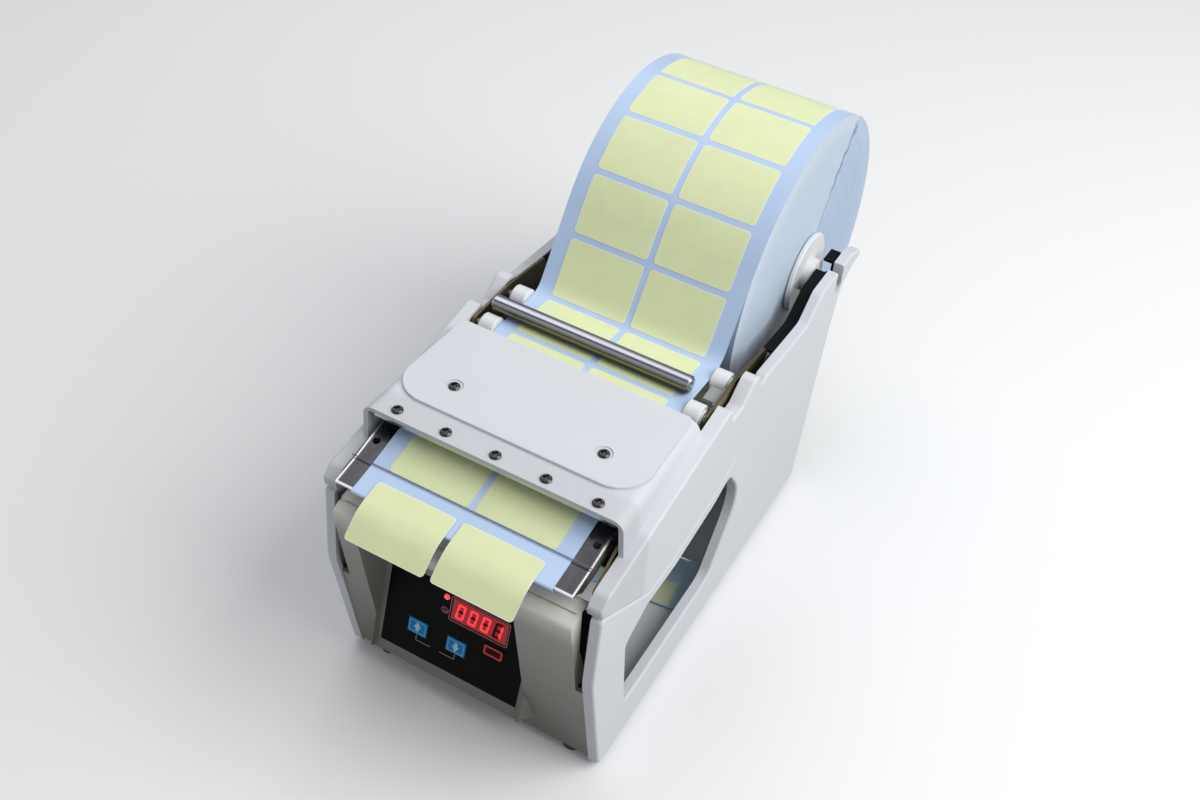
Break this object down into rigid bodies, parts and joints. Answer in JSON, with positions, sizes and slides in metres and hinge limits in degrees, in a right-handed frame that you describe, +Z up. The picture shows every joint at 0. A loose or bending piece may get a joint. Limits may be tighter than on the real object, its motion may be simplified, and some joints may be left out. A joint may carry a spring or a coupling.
{
  "type": "electric label dispenser",
  "caption": "Motor-driven label dispenser: a roll on a spindle feeds a peel deck, the liner is drawn back by a driven roller, keys and a counter on the sloped front.",
  "frame": {"origin": "middle of the outer box on the surface that the feet stand on", "axes": "+X to the right as seen from the front, +Y from front to back, +Z up"},
  "size_m": [0.155, 0.3815, 0.2357],
  "materials": {
    "casing": "fine satin moulded",
    "front_casing": "fine satin moulded",
    "gold_plate": "yellow passivated sheet",
    "black_plate": "black",
    "dark_steel": "polished",
    "bright_steel": "bright",
    "screw_steel": "dark nickel",
    "clear_film": "clear sheet",
    "grey_bracket": "satin",
    "white_plastic": "satin",
    "blue_liner": "glazed liner",
    "yellow_label": "matt label stock",
    "card_core": "wound board",
    "rubber": "matt",
    "black_gloss": "gloss membrane",
    "blue_key": "gloss membrane",
    "red_key": "gloss membrane",
    "board": "solder mask",
    "motor": "zinc",
    "dark_casing": "dark satin"
  },
  "bodies": {
    "machine": {"right_side_panel": "casing", "left_side_panel": "casing", "right_bearer_plate": "black_plate", "left_bearer_plate": "black_plate", "hood": "casing", "film_screws": "screw_steel", "hood_screws": "screw_steel", "clear_film": "clear_film", "film_clamp_bar": "grey_bracket", "right_frame_plate": "gold_plate", "left_frame_plate": "gold_plate", "frame_spacers": "bright_steel", "deck_plate": "dark_steel", "front_guide_shaft": "bright_steel", "rear_guide_shaft": "bright_steel", "web_guide_bracket": "grey_bracket", "backing_liner": "blue_liner", "web_span": "blue_liner", "waste_liner": "blue_liner", "deck_labels": "yellow_label", "dispensed_labels": "yellow_label", "front_panel": "front_casing", "control_overlay": "black_gloss", "control_board": "board", "display_module": "red_key", "status_leds": "red_key", "label_sensor": "black_gloss", "shaft_bushes": "motor", "gear_motor": "motor", "motor_bracket": "gold_plate", "pinch_pivot_rod": "bright_steel", "drive_box_cover": "black_plate", "rear_cross_member": "dark_casing", "dc_inlet": "black_gloss", "rocker_bezel": "black_gloss", "feet": "rubber"},
    "spindle": {"spindle_shaft": "bright_steel"},
    "roll": {"spindle_sleeve": "white_plastic", "left_flange": "white_plastic", "right_flange": "white_plastic", "roll_core": "card_core", "label_roll": "blue_liner"},
    "drive": {"drive_shaft": "bright_steel", "drive_roller": "rubber", "drive_gear": "white_plastic"},
    "idler": {"idler_gear": "white_plastic"},
    "pinion": {"motor_shaft": "bright_steel", "motor_pinion": "white_plastic"},
    "pinch_arm": {"pinch_bracket": "grey_bracket", "pinch_shaft": "bright_steel"},
    "pinch": {"pinch_roller": "rubber"},
    "front_left_collar": {"front_left_collar": "white_plastic"},
    "front_right_collar": {"front_right_collar": "white_plastic"},
    "rear_left_collar": {"rear_left_collar": "white_plastic"},
    "rear_right_collar": {"rear_right_collar": "white_plastic"},
    "weight_rod": {"weight_rod": "bright_steel"},
    "up_key": {"up_key": "blue_key"},
    "down_key": {"down_key": "blue_key"},
    "reset_key": {"reset_key": "red_key"},
    "power_rocker": {"power_rocker": "black_gloss"}
  },
  "joints": [
    {"name": "spindle_lift", "type": "slide", "parent": "machine", "child": "spindle", "axis": [0, 0, 1], "range_m": [0, 0.03], "deforming": ["web_span"]},
    {"name": "roll_spin", "type": "hinge", "parent": "spindle", "child": "roll", "pos_m": [0, 0.09955, 0.1445], "axis": [1, 0, 0], "continuous": true},
    {"name": "drive_spin", "type": "hinge", "parent": "machine", "child": "drive", "pos_m": [0, -0.1112, 0.118], "axis": [1, 0, 0], "continuous": true},
    {"name": "idler_spin", "type": "hinge", "parent": "machine", "child": "idler", "pos_m": [0, -0.13438, 0.12421], "axis": [1, 0, 0], "continuous": true},
    {"name": "pinion_spin", "type": "hinge", "parent": "machine", "child": "pinion", "pos_m": [0, -0.14358, 0.10828], "axis": [1, 0, 0], "continuous": true},
    {"name": "pinch_lift", "type": "hinge", "parent": "machine", "child": "pinch_arm", "pos_m": [0, -0.0802, 0.144], "axis": [1, 0, 0], "range_deg": [-4, 0], "stiffness_Nm_per_rad": 0.4, "springref_deg": 14.32},
    {"name": "pinch_spin", "type": "hinge", "parent": "pinch_arm", "child": "pinch", "pos_m": [0, -0.10513, 0.13695], "axis": [1, 0, 0], "continuous": true},
    {"name": "front_left_collar_slide", "type": "slide", "parent": "machine", "child": "front_left_collar", "axis": [-1, 0, 0], "range_m": [0, 0.001]},
    {"name": "front_right_collar_slide", "type": "slide", "parent": "machine", "child": "front_right_collar", "axis": [1, 0, 0], "range_m": [0, 0.001]},
    {"name": "rear_left_collar_slide", "type": "slide", "parent": "machine", "child": "rear_left_collar", "axis": [-1, 0, 0], "range_m": [0, 0.001]},
    {"name": "rear_right_collar_slide", "type": "slide", "parent": "machine", "child": "rear_right_collar", "axis": [1, 0, 0], "range_m": [0, 0.001]},
    {"name": "weight_rod_lift", "type": "slide", "parent": "machine", "child": "weight_rod", "axis": [0, 0, 1], "range_m": [0, 0.03]},
    {"name": "up_key_press", "type": "slide", "parent": "machine", "child": "up_key", "axis": [0, 0.9537, -0.3007], "range_m": [0, 0.0004], "stiffness_N_per_m": 1200, "springref_m": -0.0002},
    {"name": "down_key_press", "type": "slide", "parent": "machine", "child": "down_key", "axis": [0, 0.9537, -0.3007], "range_m": [0, 0.0004], "stiffness_N_per_m": 1200, "springref_m": -0.0002},
    {"name": "reset_key_press", "type": "slide", "parent": "machine", "child": "reset_key", "axis": [0, 0.9537, -0.3007], "range_m": [0, 0.0004], "stiffness_N_per_m": 1200, "springref_m": -0.0002},
    {"name": "rocker_tilt", "type": "hinge", "parent": "machine", "child": "power_rocker", "pos_m": [0, 0.0803, 0.025], "axis": [1, 0, 0], "range_deg": [-16, 0]}
  ],
  "couplings": [
    {"joint": "drive_spin", "follows": "roll_spin", "ratio": -8.3182},
    {"joint": "idler_spin", "follows": "roll_spin", "ratio": 7.2784},
    {"joint": "pinion_spin", "follows": "roll_spin", "ratio": -16.636},
    {"joint": "pinch_spin", "follows": "roll_spin", "ratio": 11.438}
  ]
}
